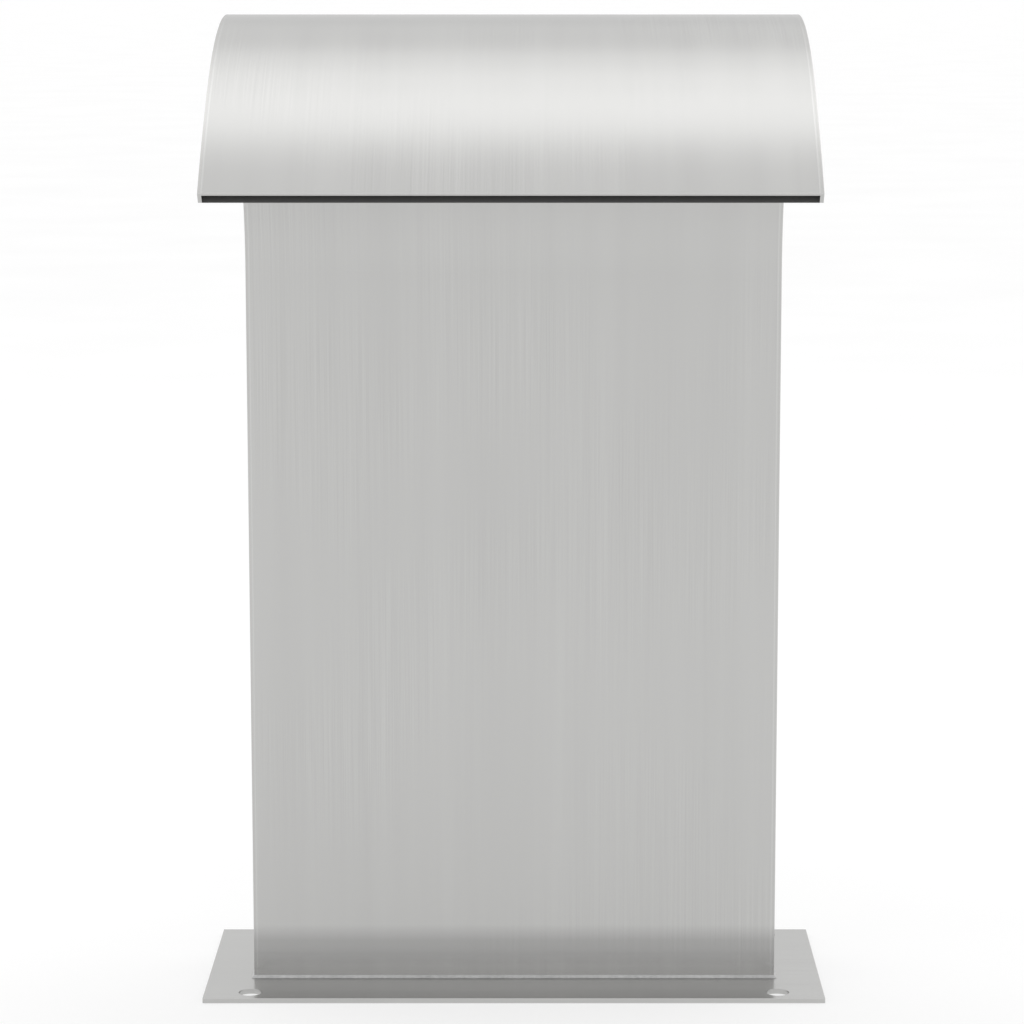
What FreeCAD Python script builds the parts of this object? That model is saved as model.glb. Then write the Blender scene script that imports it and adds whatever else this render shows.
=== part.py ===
"""Deck-mounted water spout in stainless sheet: a flat hollow column on a bolted base plate, curving
forward at the top into a wide hood that ends in a thin downward outlet slot.

Frame: millimetres, +Z up. X runs across the width, -Y is the side that the hood leans over and the
water falls on, +Y is the back, where the supply pipe enters. The origin is the centre of the base
plate's underside. Every side profile lies in the YZ plane and is extruded along X.
"""
import FreeCAD, Part
import math
import os

Vector = FreeCAD.Vector

# Base plate
BASE_WIDTH = 370.0
BASE_DEPTH = 150.0
BASE_THICK = 3.0
ANCHOR_HOLE_R = 7.0
ANCHOR_X = 157.5
ANCHOR_Y = 62.5

# Column and hood, outside faces
BODY_WIDTH = 315.0
BODY_DEPTH = 63.0
HEIGHT = 583.0
SHEET = 1.5
SIDE_PLATE = 2.0
REAR_RADIUS = 150.0
REAR_SWEEP = math.radians(76.0)
CROWN_RADIUS = 230.6
CROWN_SLOPE = math.radians(33.8)
FLANK_RADIUS = 500.0
LIP_SLOPE = math.radians(42.5)
THROAT_RADIUS = 104.5

# Outlet nozzle: two sheets bent alike along the flank
OUTLET_GAP = 5.2
NOZZLE_DEPTH = OUTLET_GAP + 2 * SHEET
NOZZLE_SWEEP = math.radians(4.6)
SPACER_WIDTH = 3.0
SPACER_LENGTH = 18.0
SPACER_SETBACK = 14.0
SPACER_PITCH = 78.0

# Weld fillet round the foot of the column, with its outer corner bevelled
WELD_LEG = 1.5
WELD_BEVEL = 1.35

# Stays that hold the two big sheets apart
STAY_R = 4.0
STAY_X = 78.0
COLUMN_STAY_Z = (150.0, 225.0, 380.0)
HOOD_STAY_Y = (-95.0, -175.0, -235.0)

# Perforated plate across the column, on two ledges
DIFFUSER_Z = 300.0
DIFFUSER_HOLE_R = 5.0
DIFFUSER_ROWS = 2
DIFFUSER_COLUMNS = 15
DIFFUSER_PITCH_X = 20.0
DIFFUSER_PITCH_Y = 26.0
LEDGE_WIDTH = 10.0

# Supply inlet at the back: tube, collar and captive union nut for a G 1 1/2 pipe end
INLET_Z = 64.0
TUBE_R = 19.0
TUBE_BORE_R = 17.5
PAD_R = 34.0
PAD_THICK = 3.0
COLLAR_R = 22.1
COLLAR_THICK = 4.0
COLLAR_START = 18.5
GASKET_R = 21.9
GASKET_THICK = 3.0
NUT_ACROSS_FLATS = 58.0
NUT_LENGTH = 24.0
NUT_SHOULDER = 4.0
NUT_THREAD_R = 22.42
NUT_RELIEF_R = 23.2
NUT_RELIEF_LENGTH = 8.0
NUT_PLAY = 0.35
NUT_CHAMFER = 1.5

# Bent splash plate inside, in front of the inlet
BAFFLE_SIZE = 84.0
BAFFLE_Y = -6.0
BAFFLE_THICK = 2.0

# Drain for winter, low on the back under the inlet
DRAIN_Z = 17.0
DRAIN_R = 5.0
DRAIN_BOSS_R = 10.0
DRAIN_BOSS_LENGTH = 6.0
DRAIN_WASHER_R = 8.5
DRAIN_WASHER_THICK = 1.5
DRAIN_HEAD_FLATS = 16.0
DRAIN_HEAD_THICK = 6.4

# Positions that follow from the sizes above
INNER_HALF = BODY_WIDTH / 2 - SIDE_PLATE
FRONT_Y = -BODY_DEPTH / 2
BACK_Y = BODY_DEPTH / 2
CROWN_CENTRE_Z = HEIGHT - CROWN_RADIUS
SPRING_Z = CROWN_CENTRE_Z + (CROWN_RADIUS - REAR_RADIUS) * math.sin(REAR_SWEEP)
CROWN_Y = BACK_Y - REAR_RADIUS - (CROWN_RADIUS - REAR_RADIUS) * math.cos(REAR_SWEEP)
FLANK_CENTRE_Y = CROWN_Y + (FLANK_RADIUS - CROWN_RADIUS) * math.sin(CROWN_SLOPE)
FLANK_CENTRE_Z = CROWN_CENTRE_Z - (FLANK_RADIUS - CROWN_RADIUS) * math.cos(CROWN_SLOPE)
NOZZLE_SLOPE = LIP_SLOPE - NOZZLE_SWEEP


# ---- Profiles -------------------------------------------------------------------------------------

def walk(start, segments):
    """Tangent lines and left-turning arcs from start, heading up. Returns the edges and the end."""
    edges = []
    y, z = start
    heading = math.pi / 2
    for kind, length, turn in segments:
        if kind == "line":
            end = (y + length * math.cos(heading), z + length * math.sin(heading))
            edges.append(Part.LineSegment(Vector(0, y, z), Vector(0, *end)).toShape())
        else:
            radius = length
            centre = (y - radius * math.sin(heading), z + radius * math.cos(heading))
            middle = heading + turn / 2
            heading += turn
            halfway = (centre[0] + radius * math.sin(middle), centre[1] - radius * math.cos(middle))
            end = (centre[0] + radius * math.sin(heading), centre[1] - radius * math.cos(heading))
            edges.append(Part.Arc(Vector(0, y, z), Vector(0, *halfway), Vector(0, *end)).toShape())
        y, z = end
    return edges, end


def outer_path(inset):
    """Back face, crown and flank of the hood, moved into the duct by inset."""
    segments = [
        ("line", SPRING_Z - BASE_THICK, 0.0),
        ("arc", REAR_RADIUS - inset, REAR_SWEEP),
        ("arc", CROWN_RADIUS - inset, math.pi / 2 - REAR_SWEEP + CROWN_SLOPE),
        ("arc", FLANK_RADIUS - inset, LIP_SLOPE - CROWN_SLOPE),
    ]
    return walk((BACK_Y - inset, BASE_THICK), segments)


def flank_point(slope, below):
    """The point below the flank, square to it, where the flank slopes down by the given angle."""
    radius = FLANK_RADIUS - below
    return FLANK_CENTRE_Y - radius * math.sin(slope), FLANK_CENTRE_Z + radius * math.cos(slope)


def hood_arc():
    """Radius of the arc between the throat and the nozzle, tangent to both, and the angle it turns."""
    start_y, start_z = flank_point(NOZZLE_SLOPE, NOZZLE_DEPTH)
    dy = start_y - (FRONT_Y - THROAT_RADIUS)
    dz = start_z - SPRING_Z
    below = dy * math.sin(NOZZLE_SLOPE) - dz * math.cos(NOZZLE_SLOPE)
    radius = (THROAT_RADIUS ** 2 - dy ** 2 - dz ** 2) / (2 * (below + THROAT_RADIUS))
    centre_y = dy + radius * math.sin(NOZZLE_SLOPE)
    centre_z = dz - radius * math.cos(NOZZLE_SLOPE)
    turn = NOZZLE_SLOPE + math.atan2(-centre_y, -centre_z)
    return radius, turn


def inner_path(inset, end_cut):
    """Front face, throat and nozzle underside, moved into the duct by inset, short of the lip by end_cut."""
    radius, turn = hood_arc()
    nozzle_radius = FLANK_RADIUS - NOZZLE_DEPTH
    segments = [
        ("line", SPRING_Z - BASE_THICK, 0.0),
        ("arc", THROAT_RADIUS + inset, math.pi / 2 + NOZZLE_SLOPE - turn),
        ("arc", radius + inset, turn),
        ("arc", nozzle_radius + inset, NOZZLE_SWEEP - end_cut / nozzle_radius),
    ]
    return walk((FRONT_Y + inset, BASE_THICK), segments)


def extrude_between(path_a, path_b, half_width, extra_points=()):
    """Face between two paths that start at the foot, extruded from -half_width to +half_width."""
    edges_a, end_a = path_a
    edges_b, end_b = path_b
    corners = [end_a, *extra_points, end_b]
    caps = [Part.LineSegment(Vector(0, *p), Vector(0, *q)).toShape()
            for p, q in zip(corners, corners[1:])]
    foot_a = edges_a[0].Vertexes[0].Point
    foot_b = edges_b[0].Vertexes[0].Point
    foot = Part.LineSegment(foot_b, foot_a).toShape()
    wire = Part.Wire(Part.__sortEdges__(edges_a + caps + edges_b + [foot]))
    face = Part.Face(wire)
    face.translate(Vector(-half_width, 0, 0))
    return face.extrude(Vector(2 * half_width, 0, 0))


# ---- Small shapes ---------------------------------------------------------------------------------

def box_between(low, high):
    """Box from its lowest to its highest corner."""
    size = [b - a for a, b in zip(low, high)]
    return Part.makeBox(*size, Vector(*low))


def rod_y(radius, y_start, y_end, x, z):
    """Cylinder along +Y."""
    return Part.makeCylinder(radius, y_end - y_start, Vector(x, y_start, z), Vector(0, 1, 0))


def tube_y(radius, bore, y_start, y_end, x, z):
    """Ring or tube along +Y."""
    return rod_y(radius, y_start, y_end, x, z).cut(rod_y(bore, y_start, y_end, x, z))


def hexagon_y(across_flats, y_start, y_end, x, z):
    """Hexagonal prism along +Y with a corner pointing up."""
    corner_radius = across_flats / math.sqrt(3)
    angles = [math.radians(90 + 60 * i) for i in range(7)]
    points = [Vector(x + corner_radius * math.cos(a), y_start, z + corner_radius * math.sin(a))
              for a in angles]
    return Part.Face(Part.makePolygon(points)).extrude(Vector(0, y_end - y_start, 0))


def corner_chamfer_y(across_flats, chamfer, y_start, y_end, x, z):
    """Turned blank, coned at both ends, that rounds off the corners of a hexagonal nut."""
    corner_radius = across_flats / math.sqrt(3)
    middle = rod_y(corner_radius, y_start + chamfer, y_end - chamfer, x, z)
    face_radius = corner_radius - 2 * chamfer
    first = Part.makeCone(face_radius, corner_radius, chamfer, Vector(x, y_start, z), Vector(0, 1, 0))
    second = Part.makeCone(corner_radius, face_radius, chamfer,
                           Vector(x, y_end - chamfer, z), Vector(0, 1, 0))
    return middle.fuse([first, second])


# ---- Sheet-metal shell ----------------------------------------------------------------------------

def base_plate():
    plate = box_between((-BASE_WIDTH / 2, -BASE_DEPTH / 2, 0), (BASE_WIDTH / 2, BASE_DEPTH / 2, BASE_THICK))
    holes = [Part.makeCylinder(ANCHOR_HOLE_R, BASE_THICK, Vector(x, y, 0))
             for x in (-ANCHOR_X, ANCHOR_X) for y in (-ANCHOR_Y, ANCHOR_Y)]
    return plate.cut(holes)


def knife_cut():
    """How far the lower sheet's underside stops short, so that its end is cut level to a thin edge."""
    return SHEET / math.tan(LIP_SLOPE)


def side_plate(side):
    """Swan-neck cheek plate: the whole outline of the duct. side is -1 for left, 1 for right."""
    edge_point = flank_point(LIP_SLOPE, SHEET + OUTLET_GAP)
    plate = extrude_between(outer_path(0.0), inner_path(0.0, knife_cut()), SIDE_PLATE / 2, [edge_point])
    plate.translate(Vector(side * (BODY_WIDTH - SIDE_PLATE) / 2, 0, 0))
    return plate


def back_sheet():
    sheet = extrude_between(outer_path(0.0), outer_path(SHEET), INNER_HALF)
    inlet_hole = rod_y(TUBE_R, 0, BACK_Y, 0, INLET_Z)
    drain_hole = rod_y(DRAIN_R, 0, BACK_Y, 0, DRAIN_Z)
    return sheet.cut([inlet_hole, drain_hole])


def front_sheet():
    return extrude_between(inner_path(0.0, knife_cut()), inner_path(SHEET, 0.0), INNER_HALF)


def duct_space():
    """The water space between the two sheets, used to trim what is welded inside it."""
    return extrude_between(outer_path(SHEET), inner_path(SHEET, 0.0), INNER_HALF)


def foot_weld():
    """Fillet weld all round the column where it stands on the base plate."""
    half_x = BODY_WIDTH / 2
    half_y = BODY_DEPTH / 2
    top = BASE_THICK + WELD_LEG
    block = box_between((-half_x - WELD_LEG, -half_y - WELD_LEG, BASE_THICK),
                        (half_x + WELD_LEG, half_y + WELD_LEG, top))
    rim = [edge for edge in block.Edges
           if all(abs(vertex.Point.z - top) < 1e-6 for vertex in edge.Vertexes)]
    bevelled = block.makeChamfer(WELD_BEVEL, rim)
    column = box_between((-half_x, -half_y, BASE_THICK), (half_x, half_y, top))
    return bevelled.cut(column)


# ---- Inside the duct ------------------------------------------------------------------------------

def column_stays():
    """Round bars between the front and back sheets of the column."""
    return Part.makeCompound([rod_y(STAY_R, FRONT_Y + SHEET, BACK_Y - SHEET, x, z)
                              for z in COLUMN_STAY_Z for x in (-STAY_X, STAY_X)])


def hood_stays():
    """Upright bars between the throat and the crown, trimmed to the curved sheets."""
    space = duct_space()
    bars = []
    for y in HOOD_STAY_Y:
        for x in (-STAY_X, STAY_X):
            bar = Part.makeCylinder(STAY_R, HEIGHT - SPRING_Z, Vector(x, y, SPRING_Z))
            bars.append(bar.common(space).Solids[0])
    return Part.makeCompound(bars)


def outlet_spacers():
    """Small vanes in the nozzle that keep the slot's height even, trimmed to the curved sheets."""
    front = LIP_SLOPE - SPACER_SETBACK / FLANK_RADIUS
    rear = front - SPACER_LENGTH / FLANK_RADIUS
    corners = [flank_point(front, 0.0), flank_point(rear, 0.0),
               flank_point(rear, NOZZLE_DEPTH), flank_point(front, NOZZLE_DEPTH)]
    points = [Vector(-SPACER_WIDTH / 2, *corner) for corner in corners]
    blank = Part.Face(Part.makePolygon(points + points[:1])).extrude(Vector(SPACER_WIDTH, 0, 0))
    vane = blank.common(duct_space()).Solids[0]
    return Part.makeCompound([vane.translated(Vector(x, 0, 0)) for x in (-SPACER_PITCH, 0, SPACER_PITCH)])


def diffuser_plate():
    plate = box_between((-INNER_HALF, FRONT_Y + SHEET, DIFFUSER_Z),
                        (INNER_HALF, BACK_Y - SHEET, DIFFUSER_Z + SHEET))
    holes = []
    for row in range(DIFFUSER_ROWS):
        y = (row - (DIFFUSER_ROWS - 1) / 2) * DIFFUSER_PITCH_Y
        for column in range(DIFFUSER_COLUMNS):
            x = (column - (DIFFUSER_COLUMNS - 1) / 2) * DIFFUSER_PITCH_X
            holes.append(Part.makeCylinder(DIFFUSER_HOLE_R, SHEET, Vector(x, y, DIFFUSER_Z)))
    return plate.cut(holes)


def diffuser_ledges():
    """Two strips welded to the side plates, under the ends of the diffuser plate."""
    ledges = []
    for side in (-1, 1):
        x_low, x_high = sorted((side * INNER_HALF, side * (INNER_HALF - LEDGE_WIDTH)))
        ledges.append(box_between((x_low, FRONT_Y + SHEET, DIFFUSER_Z - SIDE_PLATE),
                                  (x_high, BACK_Y - SHEET, DIFFUSER_Z)))
    return Part.makeCompound(ledges)


def inlet_baffle():
    """Plate in front of the inlet with two folded legs back to the back sheet, open above and below."""
    half = BAFFLE_SIZE / 2
    low = (-half, BAFFLE_Y, INLET_Z - half)
    high = (half, BACK_Y - SHEET, INLET_Z + half)
    channel = box_between(low, high)
    hollow = box_between((-half + BAFFLE_THICK, BAFFLE_Y + BAFFLE_THICK, INLET_Z - half),
                         (half - BAFFLE_THICK, BACK_Y - SHEET, INLET_Z + half))
    return channel.cut(hollow)


# ---- Supply inlet ---------------------------------------------------------------------------------

def collar_span():
    start = BACK_Y + COLLAR_START
    return start, start + COLLAR_THICK


def inlet_pad():
    return tube_y(PAD_R, TUBE_R, BACK_Y, BACK_Y + PAD_THICK, 0, INLET_Z)


def inlet_tube():
    return tube_y(TUBE_R, TUBE_BORE_R, BACK_Y - SHEET, collar_span()[1], 0, INLET_Z)


def inlet_collar():
    start, end = collar_span()
    return tube_y(COLLAR_R, TUBE_R, start, end, 0, INLET_Z)


def inlet_gasket():
    end = collar_span()[1]
    return tube_y(GASKET_R, TUBE_BORE_R, end, end + GASKET_THICK, 0, INLET_Z)


def union_nut():
    """Captive hexagon nut behind the collar, free to turn on the tube."""
    shoulder_end = collar_span()[0] - NUT_PLAY
    start = shoulder_end - NUT_SHOULDER
    end = start + NUT_LENGTH
    blank = hexagon_y(NUT_ACROSS_FLATS, start, end, 0, INLET_Z)
    blank = blank.common(corner_chamfer_y(NUT_ACROSS_FLATS, NUT_CHAMFER, start, end, 0, INLET_Z))
    shoulder_bore = rod_y(TUBE_R + NUT_PLAY, start, shoulder_end, 0, INLET_Z)
    relief = rod_y(NUT_RELIEF_R, shoulder_end, shoulder_end + NUT_RELIEF_LENGTH, 0, INLET_Z)
    thread_bore = rod_y(NUT_THREAD_R, shoulder_end + NUT_RELIEF_LENGTH, end, 0, INLET_Z)
    return blank.cut([shoulder_bore, relief, thread_bore])


# ---- Drain ----------------------------------------------------------------------------------------

def drain_boss():
    return tube_y(DRAIN_BOSS_R, DRAIN_R, BACK_Y, BACK_Y + DRAIN_BOSS_LENGTH, 0, DRAIN_Z)


def drain_washer():
    start = BACK_Y + DRAIN_BOSS_LENGTH
    return tube_y(DRAIN_WASHER_R, DRAIN_R, start, start + DRAIN_WASHER_THICK, 0, DRAIN_Z)


def drain_plug():
    head_start = BACK_Y + DRAIN_BOSS_LENGTH + DRAIN_WASHER_THICK
    head_end = head_start + DRAIN_HEAD_THICK
    shank = rod_y(DRAIN_R, BACK_Y - SHEET, head_start, 0, DRAIN_Z)
    head = hexagon_y(DRAIN_HEAD_FLATS, head_start, head_end, 0, DRAIN_Z)
    return shank.fuse(head).removeSplitter()


def all_nodes():
    return {
        "base_plate": base_plate(),
        "side_plate_left": side_plate(-1),
        "side_plate_right": side_plate(1),
        "front_sheet": front_sheet(),
        "back_sheet": back_sheet(),
        "foot_weld": foot_weld(),
        "column_stays": column_stays(),
        "hood_stays": hood_stays(),
        "outlet_spacers": outlet_spacers(),
        "diffuser_plate": diffuser_plate(),
        "diffuser_ledges": diffuser_ledges(),
        "inlet_baffle": inlet_baffle(),
        "inlet_pad": inlet_pad(),
        "inlet_tube": inlet_tube(),
        "inlet_collar": inlet_collar(),
        "inlet_gasket": inlet_gasket(),
        "union_nut": union_nut(),
        "drain_boss": drain_boss(),
        "drain_washer": drain_washer(),
        "drain_plug": drain_plug(),
    }


def main():
    os.makedirs("parts", exist_ok=True)
    for name, shape in all_nodes().items():
        if not shape.isValid():
            raise ValueError(f"{name} is not a valid solid")
        shape.exportStep(f"parts/{name}.step")
        box = shape.BoundBox
        size = f"{box.XLength:.1f} x {box.YLength:.1f} x {box.ZLength:.1f}"
        print(f"{name}: {len(shape.Solids)} solid(s), {size}")


main()
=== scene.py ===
"""Looks of the stainless water spout: brushed sheet, soft studio light, pale floor."""
import math

import bpy
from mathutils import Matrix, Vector


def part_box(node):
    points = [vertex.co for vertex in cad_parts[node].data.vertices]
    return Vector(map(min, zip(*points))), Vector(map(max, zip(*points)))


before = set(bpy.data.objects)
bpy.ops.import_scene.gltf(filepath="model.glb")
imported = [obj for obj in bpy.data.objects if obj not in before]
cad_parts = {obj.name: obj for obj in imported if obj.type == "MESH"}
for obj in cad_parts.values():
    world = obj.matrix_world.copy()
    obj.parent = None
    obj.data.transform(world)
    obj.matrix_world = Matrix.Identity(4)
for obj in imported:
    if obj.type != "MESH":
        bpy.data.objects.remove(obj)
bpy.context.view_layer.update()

# Lengths are in metres and angles in degrees, in the part's frame.

# Camera. The lens and the sensor are in millimetres
CAMERA_AT = (0.0101, -2.1, 0.617)
CAMERA_PITCH = 9.02
CAMERA_LENS = 124.05
CAMERA_SENSOR = 36.0
CAMERA_SHIFT_X = -0.0184

# Brushed grain: noise cells per metre along and across the grain, for hair lines and wider bands
HAIR_LONG = 9.0
HAIR_ACROSS = 1500.0
BAND_LONG = 1.5
BAND_ACROSS = 60.0
CLOUD_CELLS = 5.0
PATCH_CELLS = 9.0
PATCH_SPAN = (0.45, 0.7)
PATCH_STRENGTH = (0.15, 1.0)

# How much the hair lines, the bands, the slow clouds and rubbed edges change a sheet's tone
HAIR_TONE = 0.10
BAND_TONE = 0.045
CLOUD_TONE = 0.03
WEAR_TONE = 0.07

BLACK = (0.0, 0.0, 0.0, 1.0)
WHITE = (1.0, 1.0, 1.0, 1.0)

# Stainless sheet: its colour is this slightly warm white times its tone
SHEET_COLOUR = (1.003, 1.0, 0.985, 1.0)
SHEET_TONE = 0.52
SHEET_ROUGHNESS = 0.24
ROUGHNESS_SPREAD = 0.08
EDGE_TINT = 0.79
PLATE_EDGE_TINT = 0.86
HAIR_STRENGTH = 0.05
HAIR_DEPTH = 0.0001
INNER_TONE = 0.36
INNER_ROUGHNESS = 0.45
INNER_CONTRAST = 2.0

# Rubbed edges: width of the wear, and cosines between the true and the rounded normal
SHEET_WEAR = 0.0012
TURNED_WEAR = 0.0008
WEAR_COSINES = (0.99, 0.85)
WEAR_SAMPLES = 4

# Duct side of the sheets: how far a face must look into the duct for the finish to start and to be full.
# Also the share of tone left there, which is partly a darker unpolished finish and partly painted shade
# in the duct, and the share of metallic gloss left there
DUCT_FACING = (0.05, 0.1)
DUCT_TONE_AND_PAINTED_SHADE = 0.34
DUCT_METALLIC = 0.25

# The outer sheet's end face at the lip is cut square to the sheet and ground bright
SHEET_THICKNESS = 0.0015
LIP_SLOPE = 42.5
LIP_FACE_FADE = 0.0001

# Turned parts and the G 1 1/2 thread in the union nut
RING_CELLS = (150, 2500, 150)
RING_DEPTH = 0.00003
RING_SHARE = 0.6
TURNED_CLOUD_CELLS = 60.0
TURNED_WEAR_TONE = 0.25
THREAD_PITCH = 0.00231
THREAD_RADIUS = 0.02242
THREAD_DEPTH = 0.0015
THREAD_FADE = (0.0002, 0.0006)

# Painted dark reflection: a darker band in the sheets' colour above the foot weld. Gives its heights,
# and the tone left in its middle
FOOT_REFLECTION_TOP = 0.036
FOOT_REFLECTION_FULL = 0.026
FOOT_REFLECTION_FADE = 0.018
FOOT_REFLECTION_CLEAR = 0.010
FOOT_REFLECTION_TONE = 0.76

# Foot weld
RIPPLE_CELLS = (420, 420, 60)
RIPPLE_STRENGTH = 0.25
RIPPLE_DEPTH = 0.0002
RIPPLE_SHARE = 0.5
WELD_CLOUD_CELLS = 25.0
WELD_SPAN = (0.35, 0.65)
WELD_METALLIC = 0.3

# Rubber
RUBBER_CELLS = 900.0
RUBBER_STRENGTH = 0.2
RUBBER_DEPTH = 0.0002

# Floor
FLOOR_HALF = 60.0
FLOOR_CLOUD_CELLS = 3.0
FLOOR_GLOW = 0.60
FLOOR_ROUGHNESS = 0.9
FLOOR_SPECULAR = 0.1

# Soft overhead lights seen in the hood, on an arc around its middle: degrees behind the zenith, radiance
OVERHEAD_LIGHTS = ((15.5, 0.78), (27.0, 0.58), (38.0, 0.38), (49.0, 0.12), (60.0, 0.15))
OVERHEAD_DISTANCE = 3.0
OVERHEAD_DEPTH = 0.56
OVERHEAD_WIDTH = 6.0
HOOD_MIDDLE = Vector((0.0, -0.25, 0.54))

# Shading of the bent sheets: vertices nearer than this are one, edges over this angle are sharp
MERGE_DISTANCE = 0.00001
SHARP_ANGLE = 30.0

# The part of its 0 to 1 range that a noise mostly stays in
NOISE_SPAN = (0.3, 0.7)

# Finish of each CAD node
CHEEK_NODES = ("side_plate_left", "side_plate_right")
INNER_NODES = ("column_stays", "hood_stays", "outlet_spacers", "diffuser_plate", "diffuser_ledges",
               "inlet_baffle")
TURNED_NODES = ("inlet_pad", "inlet_tube", "inlet_collar", "drain_boss")
RUBBER_NODES = ("inlet_gasket", "drain_washer")

# Places read from the frame
NUT_LOW, NUT_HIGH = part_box("union_nut")
INLET_HEIGHT = (NUT_LOW[2] + NUT_HIGH[2]) / 2
LIP_FACE_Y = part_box("back_sheet")[0][1] + SHEET_THICKNESS * math.sin(math.radians(LIP_SLOPE))


class Graph:
    """Small helper around one material's node tree."""

    def __init__(self, name):
        self.material = bpy.data.materials.new(name)
        self.material.use_nodes = True
        self.tree = self.material.node_tree
        self.shader = next(n for n in self.tree.nodes if n.type == "BSDF_PRINCIPLED")

    def add(self, kind, **settings):
        node = self.tree.nodes.new(kind)
        for key, value in settings.items():
            setattr(node, key, value)
        return node

    def link(self, source, target):
        self.tree.links.new(source, target)

    def drive(self, socket, source):
        """Links one of the shader's own sockets."""
        self.link(source, self.shader.inputs[socket])

    def put(self, socket, value):
        """Sets one of the shader's own sockets."""
        self.shader.inputs[socket].default_value = value

    def place(self, scale):
        """Object coordinates stretched by scale."""
        coords = self.add("ShaderNodeTexCoord")
        mapping = self.add("ShaderNodeMapping")
        mapping.inputs["Scale"].default_value = scale
        self.link(coords.outputs["Object"], mapping.inputs["Vector"])
        return mapping.outputs["Vector"]

    def noise(self, cells, detail):
        """Noise from 0 to 1, with cells per metre for each axis."""
        node = self.add("ShaderNodeTexNoise")
        node.inputs["Scale"].default_value = 1.0
        node.inputs["Detail"].default_value = detail
        self.link(self.place(cells), node.inputs["Vector"])
        return node.outputs["Fac"]

    def cloud(self, cells, detail):
        """Noise from 0 to 1 with the same cells per metre in every direction."""
        node = self.add("ShaderNodeTexNoise")
        node.inputs["Scale"].default_value = cells
        node.inputs["Detail"].default_value = detail
        self.link(self.place((1, 1, 1)), node.inputs["Vector"])
        return node.outputs["Fac"]

    def remap(self, value, span, out):
        """Value's stretch between the two numbers of span, brought between those of out."""
        node = self.add("ShaderNodeMapRange")
        node.inputs["From Min"].default_value, node.inputs["From Max"].default_value = span
        node.inputs["To Min"].default_value, node.inputs["To Max"].default_value = out
        self.link(value, node.inputs["Value"])
        return node.outputs["Result"]

    def math(self, operation, first, second):
        node = self.add("ShaderNodeMath", operation=operation)
        for socket, value in zip(node.inputs, (first, second)):
            if isinstance(value, (int, float)):
                socket.default_value = value
            else:
                self.link(value, socket)
        return node.outputs["Value"]

    def times(self, first, second):
        return self.math("MULTIPLY", first, second)

    def total(self, first, *others):
        for other in others:
            first = self.math("ADD", first, other)
        return first

    def swing(self, value, amount):
        """A noise moved to swing around 0 and multiplied by amount."""
        return self.times(self.math("SUBTRACT", value, 0.5), amount)

    def mix(self, first, second, share):
        """The given share of first and the rest of second."""
        return self.total(self.times(first, share), self.times(second, 1.0 - share))

    def ramp(self, value, span, colours):
        """The first colour below span, the second above it, and blended between."""
        node = self.add("ShaderNodeValToRGB")
        for element, position, colour in zip(node.color_ramp.elements, span, colours):
            element.position = position
            element.color = colour
        self.link(value, node.inputs["Fac"])
        return node.outputs["Color"]

    def facing(self, direction):
        """How far the surface faces the given direction, from -1 to 1."""
        geometry = self.add("ShaderNodeNewGeometry")
        product = self.add("ShaderNodeVectorMath", operation="DOT_PRODUCT")
        product.inputs[1].default_value = Vector(direction).normalized()
        self.link(geometry.outputs["Normal"], product.inputs[0])
        return product.outputs["Value"]

    def position(self, axis):
        """The object coordinate along one axis."""
        coords = self.add("ShaderNodeTexCoord")
        split = self.add("ShaderNodeSeparateXYZ")
        self.link(coords.outputs["Object"], split.inputs["Vector"])
        return split.outputs[axis]

    def painted_foot_reflection(self):
        """1 in the band of painted dark reflection a little above the foot weld, 0 right at the weld."""
        height = self.position("Z")
        above = self.remap(height, (FOOT_REFLECTION_TOP, FOOT_REFLECTION_FULL), (0.0, 1.0))
        below = self.remap(height, (FOOT_REFLECTION_FADE, FOOT_REFLECTION_CLEAR), (1.0, 0.0))
        return self.times(above, below)

    def duct_side(self, direction):
        """1 on the duct side of a sheet, which faces the given direction, 0 elsewhere and at the lip."""
        inside = self.remap(self.facing(direction), DUCT_FACING, (0.0, 1.0))
        behind_lip = self.remap(self.position("Y"), (LIP_FACE_Y, LIP_FACE_Y + LIP_FACE_FADE), (0.0, 1.0))
        return self.times(inside, behind_lip)

    def bore_thread(self):
        """Helical thread on the nut's bore: 1 on the crests, 0 in the grooves and away from the bore."""
        across = self.position("X")
        up = self.math("SUBTRACT", self.position("Z"), INLET_HEIGHT)
        turn = self.math("DIVIDE", self.math("ARCTAN2", up, across), 2 * math.pi)
        turns = self.total(turn, self.math("DIVIDE", self.position("Y"), THREAD_PITCH))
        ridge = self.times(self.math("PINGPONG", turns, 0.5), 2.0)
        squares = self.total(self.times(across, across), self.times(up, up))
        radius = self.math("POWER", squares, 0.5)
        bore = self.remap(radius, [THREAD_RADIUS + fade for fade in THREAD_FADE], (1.0, 0.0))
        return self.times(ridge, bore)

    def edge_wear(self, width):
        """About 1 on rubbed edges and 0 on flat faces, from the rounded and the true normal."""
        bevel = self.add("ShaderNodeBevel", samples=WEAR_SAMPLES)
        bevel.inputs["Radius"].default_value = width
        geometry = self.add("ShaderNodeNewGeometry")
        product = self.add("ShaderNodeVectorMath", operation="DOT_PRODUCT")
        self.link(bevel.outputs["Normal"], product.inputs[0])
        self.link(geometry.outputs["Normal"], product.inputs[1])
        return self.remap(product.outputs["Value"], WEAR_COSINES, (0.0, 1.0))

    def bump(self, height, strength, distance):
        node = self.add("ShaderNodeBump")
        node.inputs["Strength"].default_value = strength
        node.inputs["Distance"].default_value = distance
        self.link(height, node.inputs["Height"])
        self.drive("Normal", node.outputs["Normal"])


def grey(value):
    return (value, value, value, 1.0)


def greys(values):
    return [grey(value) for value in values]


def grain_cells(along, long, across):
    """Cells per metre for each axis, few where the grain runs along it and many across."""
    return [long if runs else across for runs in along]


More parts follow.
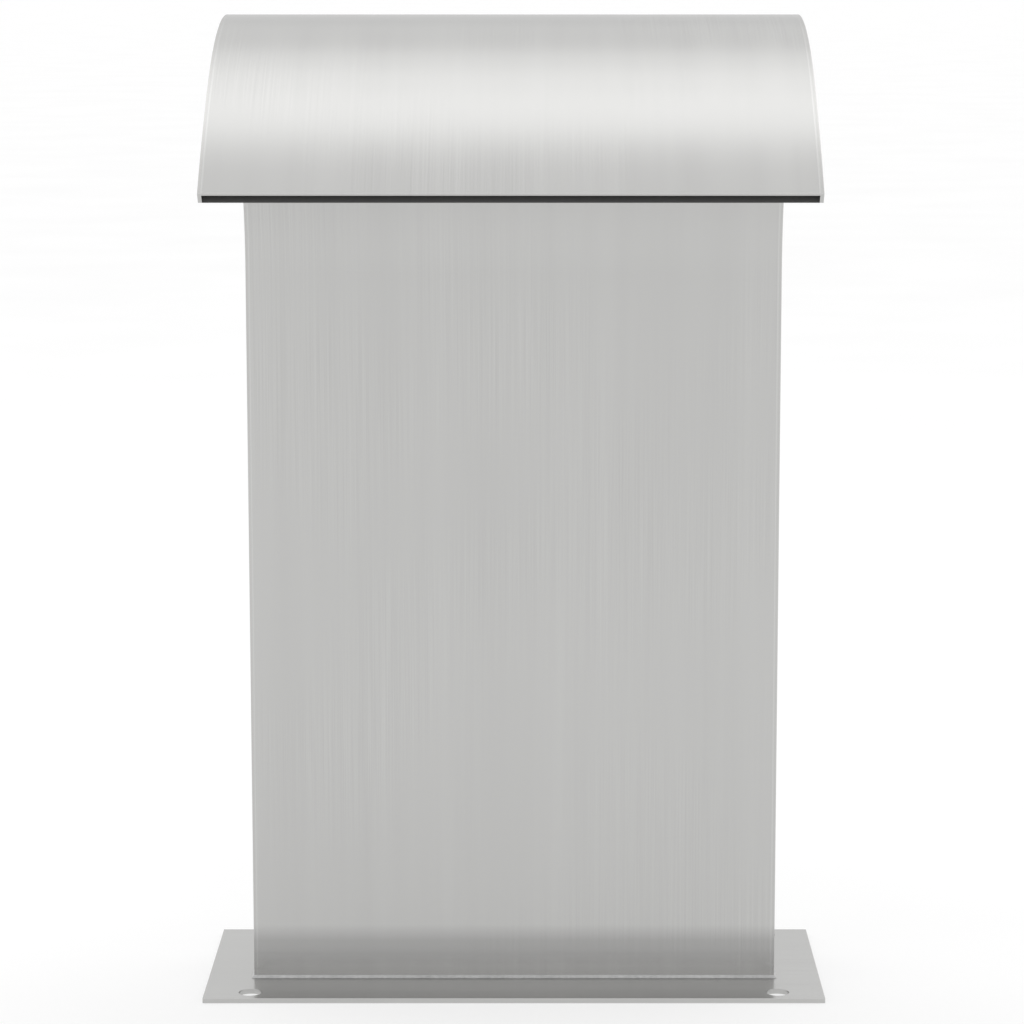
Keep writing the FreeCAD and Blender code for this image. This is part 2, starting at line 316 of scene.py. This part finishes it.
def brushed(name, tone, roughness, along, contrast=1.0, inside=None, tinted=False, edge_tint=EDGE_TINT):
    """Brushed stainless sheet. along tells for each axis whether the grain runs along it. inside is the
    direction that the duct side faces, which gets a less metallic finish and a tone darkened partly by
    painted shade. The foot-band flag adds a band of painted dark reflection above the foot weld."""
    graph = Graph(name)
    hair = graph.noise(grain_cells(along, HAIR_LONG, HAIR_ACROSS), detail=2.0)
    band = graph.noise(grain_cells(along, BAND_LONG, BAND_ACROSS), detail=2.0)
    cloud = graph.cloud(CLOUD_CELLS, detail=1.0)
    patch = graph.remap(graph.cloud(PATCH_CELLS, detail=1.0), PATCH_SPAN, PATCH_STRENGTH)
    grain = graph.swing(hair, patch)
    level = graph.total(graph.times(grain, HAIR_TONE * contrast),
                        graph.swing(band, BAND_TONE * contrast),
                        graph.swing(cloud, CLOUD_TONE),
                        graph.times(graph.edge_wear(SHEET_WEAR), WEAR_TONE),
                        tone)
    # Painted dark reflection: the tone is lowered in a band above the foot weld
    if tinted:
        level = graph.times(level, graph.remap(graph.painted_foot_reflection(), (0.0, 1.0), (1.0, FOOT_REFLECTION_TONE)))
    graph.put("Metallic", 1.0)
    if inside:
        duct_side = graph.duct_side(inside)
        # Painted shade in the duct: the duct side's tone is lowered, partly for its unpolished finish;
        # its lower metallic gloss is that finish
        level = graph.times(level, graph.remap(duct_side, (0.0, 1.0), (1.0, DUCT_TONE_AND_PAINTED_SHADE)))
        graph.drive("Metallic", graph.remap(duct_side, (0.0, 1.0), (1.0, DUCT_METALLIC)))
    graph.drive("Base Color", graph.ramp(level, (0.0, 1.0), (BLACK, SHEET_COLOUR)))
    graph.drive("Roughness", graph.total(graph.swing(band, ROUGHNESS_SPREAD), roughness))
    graph.put("Specular Tint", grey(edge_tint))
    graph.bump(grain, HAIR_STRENGTH * contrast, HAIR_DEPTH)
    return graph.material


def turned(name, tones, roughness, threaded=False):
    """Turned or machined steel with fine rings and a slightly mottled tone. threaded draws the nut's
    pipe thread in its bore."""
    graph = Graph(name)
    rings = graph.noise(RING_CELLS, detail=2.0)
    cloud = graph.cloud(TURNED_CLOUD_CELLS, detail=3.0)
    wear = graph.times(graph.edge_wear(TURNED_WEAR), TURNED_WEAR_TONE)
    mottle = graph.total(graph.mix(rings, cloud, RING_SHARE), wear)
    graph.drive("Base Color", graph.ramp(mottle, NOISE_SPAN, greys(tones)))
    graph.drive("Roughness", graph.remap(mottle, NOISE_SPAN, roughness))
    graph.put("Metallic", 1.0)
    height = graph.times(rings, RING_DEPTH)
    if threaded:
        height = graph.total(height, graph.times(graph.bore_thread(), THREAD_DEPTH))
    graph.bump(height, 1.0, 1.0)
    return graph.material


def weld_bead(name, tones, roughness):
    """Pickled weld: matt and a little lighter than the sheets, with fine ripples."""
    graph = Graph(name)
    ripple = graph.noise(RIPPLE_CELLS, detail=2.0)
    cloud = graph.cloud(WELD_CLOUD_CELLS, detail=3.0)
    mottle = graph.mix(ripple, cloud, RIPPLE_SHARE)
    graph.drive("Base Color", graph.ramp(mottle, WELD_SPAN, greys(tones)))
    graph.drive("Roughness", graph.remap(mottle, NOISE_SPAN, roughness))
    graph.put("Metallic", WELD_METALLIC)
    graph.bump(ripple, RIPPLE_STRENGTH, RIPPLE_DEPTH)
    return graph.material


def rubber(name, tones, roughness):
    """Matt black EPDM with a fine moulded grain."""
    graph = Graph(name)
    grain = graph.cloud(RUBBER_CELLS, detail=3.0)
    graph.drive("Base Color", graph.ramp(grain, NOISE_SPAN, greys(tones)))
    graph.drive("Roughness", graph.remap(grain, NOISE_SPAN, roughness))
    graph.bump(grain, RUBBER_STRENGTH, RUBBER_DEPTH)
    return graph.material


def floor_paper(name, tones):
    """Pale studio table, lit from within a little and very slightly mottled."""
    graph = Graph(name)
    cloud = graph.cloud(FLOOR_CLOUD_CELLS, detail=2.0)
    graph.drive("Base Color", graph.ramp(cloud, NOISE_SPAN, greys(tones)))
    graph.put("Roughness", FLOOR_ROUGHNESS)
    graph.put("Specular IOR Level", FLOOR_SPECULAR)
    graph.put("Emission Color", WHITE)
    graph.put("Emission Strength", FLOOR_GLOW)
    return graph.material


def dress(node_names, material):
    """Gives CAD nodes a material."""
    for name in node_names:
        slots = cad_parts[name].data.materials
        slots.clear()
        slots.append(material)


def smooth_bends(node_names):
    """Lets the shading run on where one bend meets the next, and breaks it only at real edges."""
    for name in node_names:
        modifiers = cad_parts[name].modifiers
        modifiers.new("weld", "WELD").merge_threshold = MERGE_DISTANCE
        split = modifiers.new("split", "EDGE_SPLIT")
        split.split_angle = math.radians(SHARP_ANGLE)
        split.use_edge_sharp = False
        modifiers.new("normals", "WEIGHTED_NORMAL").mode = "FACE_AREA_WITH_ANGLE"


def sheet_metal(name, along, **details):
    """Brushed stainless in the tone and roughness of all the outer sheets."""
    return brushed(name, SHEET_TONE, SHEET_ROUGHNESS, along, **details)


def make_materials():
    upright = (False, False, True)
    over_the_arc = (False, True, True)
    crosswise = (True, False, False)
    up_and_back = (0.0, 0.8, 1.2)
    down_and_front = (0.0, -0.8, -1.2)
    dress(("front_sheet",), sheet_metal("brushed_front", over_the_arc, inside=up_and_back, tinted=True))
    dress(("back_sheet",), sheet_metal("brushed_back", over_the_arc, inside=down_and_front, tinted=True))
    dress(CHEEK_NODES, sheet_metal("brushed_cheek", upright, tinted=True))
    dress(("base_plate",), sheet_metal("brushed_plate", crosswise, edge_tint=PLATE_EDGE_TINT))
    dress(INNER_NODES, brushed("mill_inner", INNER_TONE, INNER_ROUGHNESS, upright, INNER_CONTRAST))
    dress(TURNED_NODES, turned("turned_steel", tones=(0.52, 0.62), roughness=(0.38, 0.25)))
    dress(("drain_plug",), turned("machined_steel", tones=(0.56, 0.66), roughness=(0.32, 0.19)))
    dress(("union_nut",), turned("threaded_steel", tones=(0.56, 0.66), roughness=(0.32, 0.19),
                                 threaded=True))
    dress(("foot_weld",), weld_bead("weld_bead", tones=(0.47, 0.60), roughness=(0.45, 0.3)))
    dress(RUBBER_NODES, rubber("black_rubber", tones=(0.012, 0.035), roughness=(0.85, 0.7)))


def make_floor():
    mesh = bpy.data.meshes.new("studio_floor")
    corners = [(-FLOOR_HALF, -FLOOR_HALF, 0), (FLOOR_HALF, -FLOOR_HALF, 0),
               (FLOOR_HALF, FLOOR_HALF, 0), (-FLOOR_HALF, FLOOR_HALF, 0)]
    mesh.from_pydata(corners, [], [(0, 1, 2, 3)])
    floor = bpy.data.objects.new("studio_floor", mesh)
    bpy.context.scene.collection.objects.link(floor)
    mesh.materials.append(floor_paper("studio_paper", tones=(0.36, 0.38)))


def area_light(name, location, target, width, depth, radiance):
    """Rectangular light that looks as bright as radiance from the side it faces."""
    data = bpy.data.lights.new(name, "AREA")
    data.shape = "RECTANGLE"
    data.size = width
    data.size_y = depth
    data.energy = radiance * math.pi * width * depth
    light = bpy.data.objects.new(name, data)
    light.location = location
    light.rotation_euler = (target - location).to_track_quat("-Z", "Y").to_euler()
    bpy.context.scene.collection.objects.link(light)


def make_lights():
    world = bpy.data.worlds.new("studio")
    world.use_nodes = True
    background = world.node_tree.nodes["Background"]
    background.inputs["Color"].default_value = WHITE
    background.inputs["Strength"].default_value = 1.0
    bpy.context.scene.world = world
    for degrees, radiance in OVERHEAD_LIGHTS:
        angle = math.radians(degrees)
        offset = Vector((0.0, math.sin(angle), math.cos(angle))) * OVERHEAD_DISTANCE
        area_light(f"overhead_{degrees:.0f}", HOOD_MIDDLE + offset, HOOD_MIDDLE, OVERHEAD_WIDTH,
                   OVERHEAD_DEPTH, radiance)


def make_camera():
    data = bpy.data.cameras.new("photo_view")
    data.lens = CAMERA_LENS
    data.sensor_width = CAMERA_SENSOR
    data.shift_x = CAMERA_SHIFT_X
    camera = bpy.data.objects.new("photo_view", data)
    camera.location = CAMERA_AT
    camera.rotation_euler = (math.radians(90.0 - CAMERA_PITCH), 0.0, 0.0)
    bpy.context.scene.collection.objects.link(camera)
    bpy.context.scene.camera = camera


make_camera()
make_floor()
make_lights()
make_materials()
smooth_bends(("front_sheet", "back_sheet") + CHEEK_NODES)

bpy.context.scene.view_settings.view_transform = "Standard"
